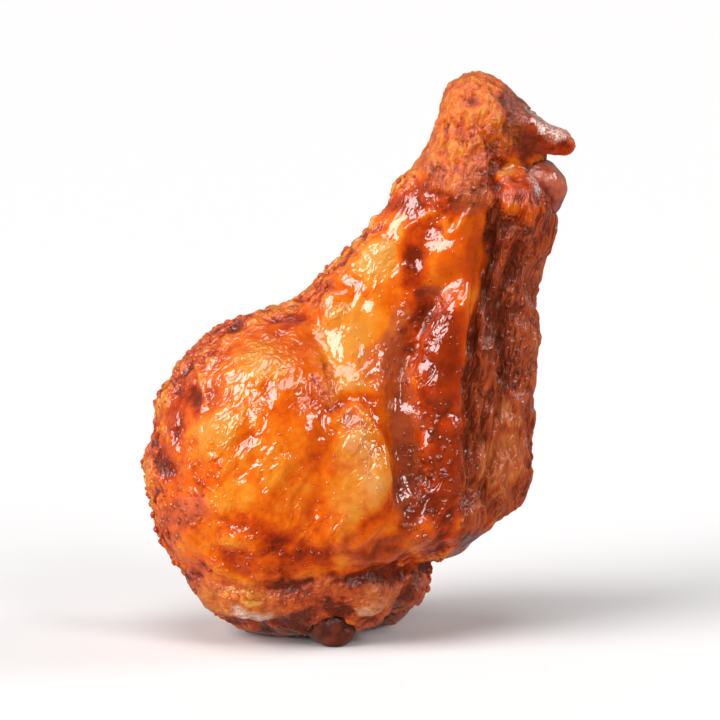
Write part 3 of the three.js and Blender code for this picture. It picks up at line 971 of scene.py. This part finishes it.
def finish_bits(bm, name, material):
    mesh = bpy.data.meshes.new(name)
    bm.to_mesh(mesh)
    bm.free()
    mesh.shade_smooth()
    mesh.materials.append(material)
    new_piece(name, mesh)


def length_property(name, description, default):
    return bpy.props.FloatProperty(name=name, description=description, default=default, unit="LENGTH")


class DrumetteSizes(bpy.types.PropertyGroup):
    mesh_edge: length_property("Mesh edge", "Edge length of the skin's mesh", 0.385 * MM)
    wrinkle_height: length_property("Wrinkle height", "Height of the wrinkles in the glazed skin", 0.26 * MM)
    crust_height: length_property("Crust height", "Height of the granules of crust", 0.55 * MM)
    fibre_height: length_property("Fibre height", "Height of the bare meat's fibres", 0.4 * MM)
    crumbs: bpy.props.IntProperty(name="Crumbs", description="How many crumbs of crust", default=420, min=1)
    camera_distance: length_property("Camera distance", "From the camera to the middle of the piece", 0.75)
    view_width: length_property("View width", "Width that the camera sees at the piece", 0.104)


def colour_property(name, description, default):
    return bpy.props.FloatVectorProperty(
        name=name, description=description, subtype="COLOR", size=3, min=0, max=1, default=default
    )


class DrumetteColours(bpy.types.PropertyGroup):
    pale_gold: colour_property("Pale gold", "Skin over pale fat", (0.8, 0.36, 0.075))
    golden: colour_property("Golden", "Lightly browned skin", (0.8, 0.26, 0.014))
    amber: colour_property("Amber", "Glazed skin", (0.78, 0.135, 0.002))
    deep_orange: colour_property("Deep orange", "Well browned skin", (0.63, 0.076, 0.002))
    red_brown: colour_property("Red brown", "Thick glaze on browned skin", (0.46, 0.04, 0.002))
    dark_glaze: colour_property("Dark glaze", "The thickest glaze", (0.22, 0.02, 0.002))
    char: colour_property("Char", "Nearly black, burnt spots", (0.09, 0.014, 0.004))
    pale_meat: colour_property("Pale meat", "Pale meat and tissue", (0.66, 0.30, 0.16))
    warm_meat: colour_property("Warm meat", "Lightly browned meat", (0.62, 0.17, 0.04))
    brown_meat: colour_property("Brown meat", "Browned meat", (0.56, 0.12, 0.028))
    dark_meat: colour_property("Dark meat", "Dark meat", (0.46, 0.08, 0.022))
    dry_meat: colour_property("Dry meat", "Dried, nearly black meat", (0.22, 0.032, 0.01))
    fleck: colour_property("Flecks", "Orange flecks of fat", (0.85, 0.24, 0.03))
    # Its white is also the painted highlight on the flap's top and beside the nub.
    sinew_and_glint_white: colour_property("Sinew and glint", "Wet, nearly white film and sinew", (0.9, 0.78, 0.72))
    pink_cartilage: colour_property("Cartilage", "Wet, dark pink cartilage", (0.24, 0.026, 0.01))
    pale_cartilage: colour_property("Pale cartilage", "Pale parts of wet cartilage", (0.58, 0.14, 0.07))


class DRUMETTE_OT_skin(bpy.types.Operator):
    """Builds the glazed skin and the meat under it"""

    bl_idname = "drumette.skin"
    bl_label = "Skin and meat"

    def execute(self, context):
        mesh = skin_mesh()
        mesh.materials.append(skin_material())
        piece = new_piece("glazed_skin", mesh)
        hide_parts("skin_and_meat")
        return {"FINISHED"}


class DRUMETTE_OT_cartilage(bpy.types.Operator):
    """Builds the two knobs of cartilage"""

    bl_idname = "drumette.cartilage"
    bl_label = "Cartilage"

    def execute(self, context):
        tint = colours()
        wet = cartilage_material("wet cartilage", tint.pink_cartilage, tint.pale_cartilage, 0.08, 3.0)
        browned = cartilage_material("browned cartilage", tint.char, tint.dry_meat, 0.25, 1.6)
        cartilage_piece("elbow_knob", "elbow_cartilage", wet, 0.15)
        cartilage_piece("shoulder_knob", "shoulder_cartilage", browned, 0.35)
        return {"FINISHED"}


class DRUMETTE_OT_crumbs(bpy.types.Operator):
    """Builds the crumbs of crust that cling to the skin's rim and the base"""

    bl_idname = "drumette.crumbs"
    bl_label = "Crumbs of crust"

    def execute(self, context):
        skin = bpy.data.objects["glazed_skin"].data
        points, normals = points_of(skin)
        lowest = 2.5  # clear of the surface that the piece stands on
        chance = smoothstep(0.5, 0.9, read(skin, "crust")) * (1 - read(skin, "meat"))
        chance *= points[:, 2] > lowest
        chance *= 0.25 + smoothstep(-0.1, 0.5, noise_at(points, 5, seed=81))
        draw = random.Random(14)
        bm = bmesh.new()
        for spot in draw.choices(range(len(points)), weights=chance.tolist(), k=sizes().crumbs):
            radius = draw.uniform(0.25, 0.7)
            radii = (radius, radius * draw.uniform(0.5, 1), radius * 0.6)
            add_bit(bm, points[spot], normals[spot], radii, draw, rounding=1)
        material = bit_material("crust crumbs", browning=0.62, spread=0.5, rough=0.3)
        finish_bits(bm, "crust_crumbs", material)
        return {"FINISHED"}


class DRUMETTE_OT_torn_bits(bpy.types.Operator):
    """Builds the torn bits of yellow fat at the base"""

    bl_idname = "drumette.torn_bits"
    bl_label = "Torn bits"

    def execute(self, context):
        skin = bpy.data.objects["glazed_skin"].data
        points, normals = points_of(skin)
        across, up = on_plane(points)
        draw = random.Random(5)
        bm = bmesh.new()
        for middle_across, middle_up, spread_across, spread_up, count, browning in TORN_BITS:
            for bit in range(count):
                at_across = middle_across + draw.gauss(0, spread_across / 1.5)
                at_up = middle_up + draw.gauss(0, spread_up / 1.5)
                spot = front_spot(points, normals, across, up, at_across, at_up)
                length = draw.uniform(0.3, 0.8)
                radii = (length, length * draw.uniform(0.3, 0.7), 0.3)
                shade = browning + draw.uniform(-0.12, 0.12)
                add_bit(bm, points[spot], normals[spot], radii, draw, rounding=2, browning=shade)
        material = bit_material("torn bits", browning="browning", spread=0.2, rough=0.4)
        finish_bits(bm, "torn_bits", material)
        return {"FINISHED"}


# Each light: degrees round from the front towards the right, degrees up, angular size, strength.
LIGHTS = {
    "left": (-57, 30, 42, 2.9),
    "right": (44, 36, 20, 0.75),
    "top": (-10, 72, 32, 1.0),
    "rim": (100, 30, 22, 0.8),
}
# The room is brighter behind the piece: the way to its brightest side, and how bright it is.
BRIGHT_SIDE = (-0.35, 0.93, 0)
ROOM_GLOW = {"From Min": -0.35, "From Max": 0.9, "To Min": 0.04, "To Max": 0.22}
ROOM_COLOUR = (1, 0.95, 0.93, 1)
FLOOR_COLOUR = (0.94, 0.93, 0.93, 1)
LOOKED_AT = Vector((0, 0, 0.0405))


def lay_floor(scene):
    white = bpy.data.materials.new("white floor")
    white.use_nodes = True
    shader = white.node_tree.nodes["Principled BSDF"]
    shader.inputs["Base Color"].default_value = FLOOR_COLOUR
    shader.inputs["Roughness"].default_value = 0.7
    shader.inputs["Specular IOR Level"].default_value = 0.2
    bm = bmesh.new()
    bmesh.ops.create_grid(bm, x_segments=1, y_segments=1, size=4)
    mesh = bpy.data.meshes.new("floor")
    bm.to_mesh(mesh)
    bm.free()
    mesh.materials.append(white)
    floor = bpy.data.objects.new("floor", mesh)
    floor.visible_glossy = False  # a pale reflection of it would veil the glaze's deep colour
    scene.collection.objects.link(floor)


def dim_room(scene):
    world = bpy.data.worlds.new("dim room")
    scene.world = world
    world.use_nodes = True
    nodes, links = world.node_tree.nodes, world.node_tree.links
    direction = nodes.new("ShaderNodeTexCoord")
    behind = nodes.new("ShaderNodeVectorMath")
    behind.operation = "DOT_PRODUCT"
    behind.inputs[1].default_value = BRIGHT_SIDE
    links.new(direction.outputs["Generated"], behind.inputs[0])
    glow = nodes.new("ShaderNodeMapRange")
    glow.interpolation_type = "SMOOTHSTEP"
    for name, number in ROOM_GLOW.items():
        glow.inputs[name].default_value = number
    links.new(behind.outputs["Value"], glow.inputs["Value"])
    nodes["Background"].inputs["Color"].default_value = ROOM_COLOUR
    links.new(glow.outputs[0], nodes["Background"].inputs["Strength"])


def hang_lights(scene):
    for name, (around, up, wide, strength) in LIGHTS.items():
        lamp = bpy.data.lights.new(name, "SUN")
        lamp.energy = strength
        lamp.angle = math.radians(wide)
        light = bpy.data.objects.new(name, lamp)
        scene.collection.objects.link(light)
        light.rotation_euler = Euler((math.radians(90 - up), 0, math.radians(around)))


def set_camera(scene):
    size = sizes()
    backwards = Vector((0, -math.cos(LEAN), math.sin(LEAN)))
    camera_data = bpy.data.cameras.new("camera")
    camera_data.sensor_width = 36
    camera_data.lens = camera_data.sensor_width * size.camera_distance / size.view_width
    camera_data.clip_start = 0.01
    camera = bpy.data.objects.new("camera", camera_data)
    scene.collection.objects.link(camera)
    camera.location = LOOKED_AT + backwards * size.camera_distance
    camera.rotation_euler = (math.radians(90) - LEAN, 0, 0)
    scene.camera = camera
    scene.view_settings.view_transform = "Standard"


class DRUMETTE_OT_stage(bpy.types.Operator):
    """Sets up the pale floor, the soft lights and the camera"""

    bl_idname = "drumette.stage"
    bl_label = "Stage"

    def execute(self, context):
        for step in (lay_floor, dim_room, hang_lights, set_camera):
            step(context.scene)
        return {"FINISHED"}


class DRUMETTE_PT_panel(bpy.types.Panel):
    """Lists the steps that build the drumette"""

    bl_idname = "DRUMETTE_PT_panel"
    bl_label = "Drumette"
    bl_space_type = "VIEW_3D"
    bl_region_type = "UI"
    bl_category = "Drumette"

    def draw(self, context):
        for operator in OPERATORS:
            self.layout.operator(operator.bl_idname)
        for group in (sizes(), colours()):
            for name in group.bl_rna.properties.keys():
                if name not in ("rna_type", "name"):
                    self.layout.prop(group, name)


OPERATORS = (
    DRUMETTE_OT_skin,
    DRUMETTE_OT_cartilage,
    DRUMETTE_OT_crumbs,
    DRUMETTE_OT_torn_bits,
    DRUMETTE_OT_stage,
)
CLASSES = (DrumetteSizes, DrumetteColours, *OPERATORS, DRUMETTE_PT_panel)


def register():
    for cls in CLASSES:
        bpy.utils.register_class(cls)
    bpy.types.Scene.drumette_sizes = bpy.props.PointerProperty(type=DrumetteSizes)
    bpy.types.Scene.drumette_colours = bpy.props.PointerProperty(type=DrumetteColours)


def unregister():
    del bpy.types.Scene.drumette_colours
    del bpy.types.Scene.drumette_sizes
    for cls in reversed(CLASSES):
        bpy.utils.unregister_class(cls)


def main():
    register()
    bpy.ops.drumette.skin()
    bpy.ops.drumette.cartilage()
    bpy.ops.drumette.crumbs()
    bpy.ops.drumette.torn_bits()
    bpy.ops.drumette.stage()


if __name__ == "__main__":
    main()
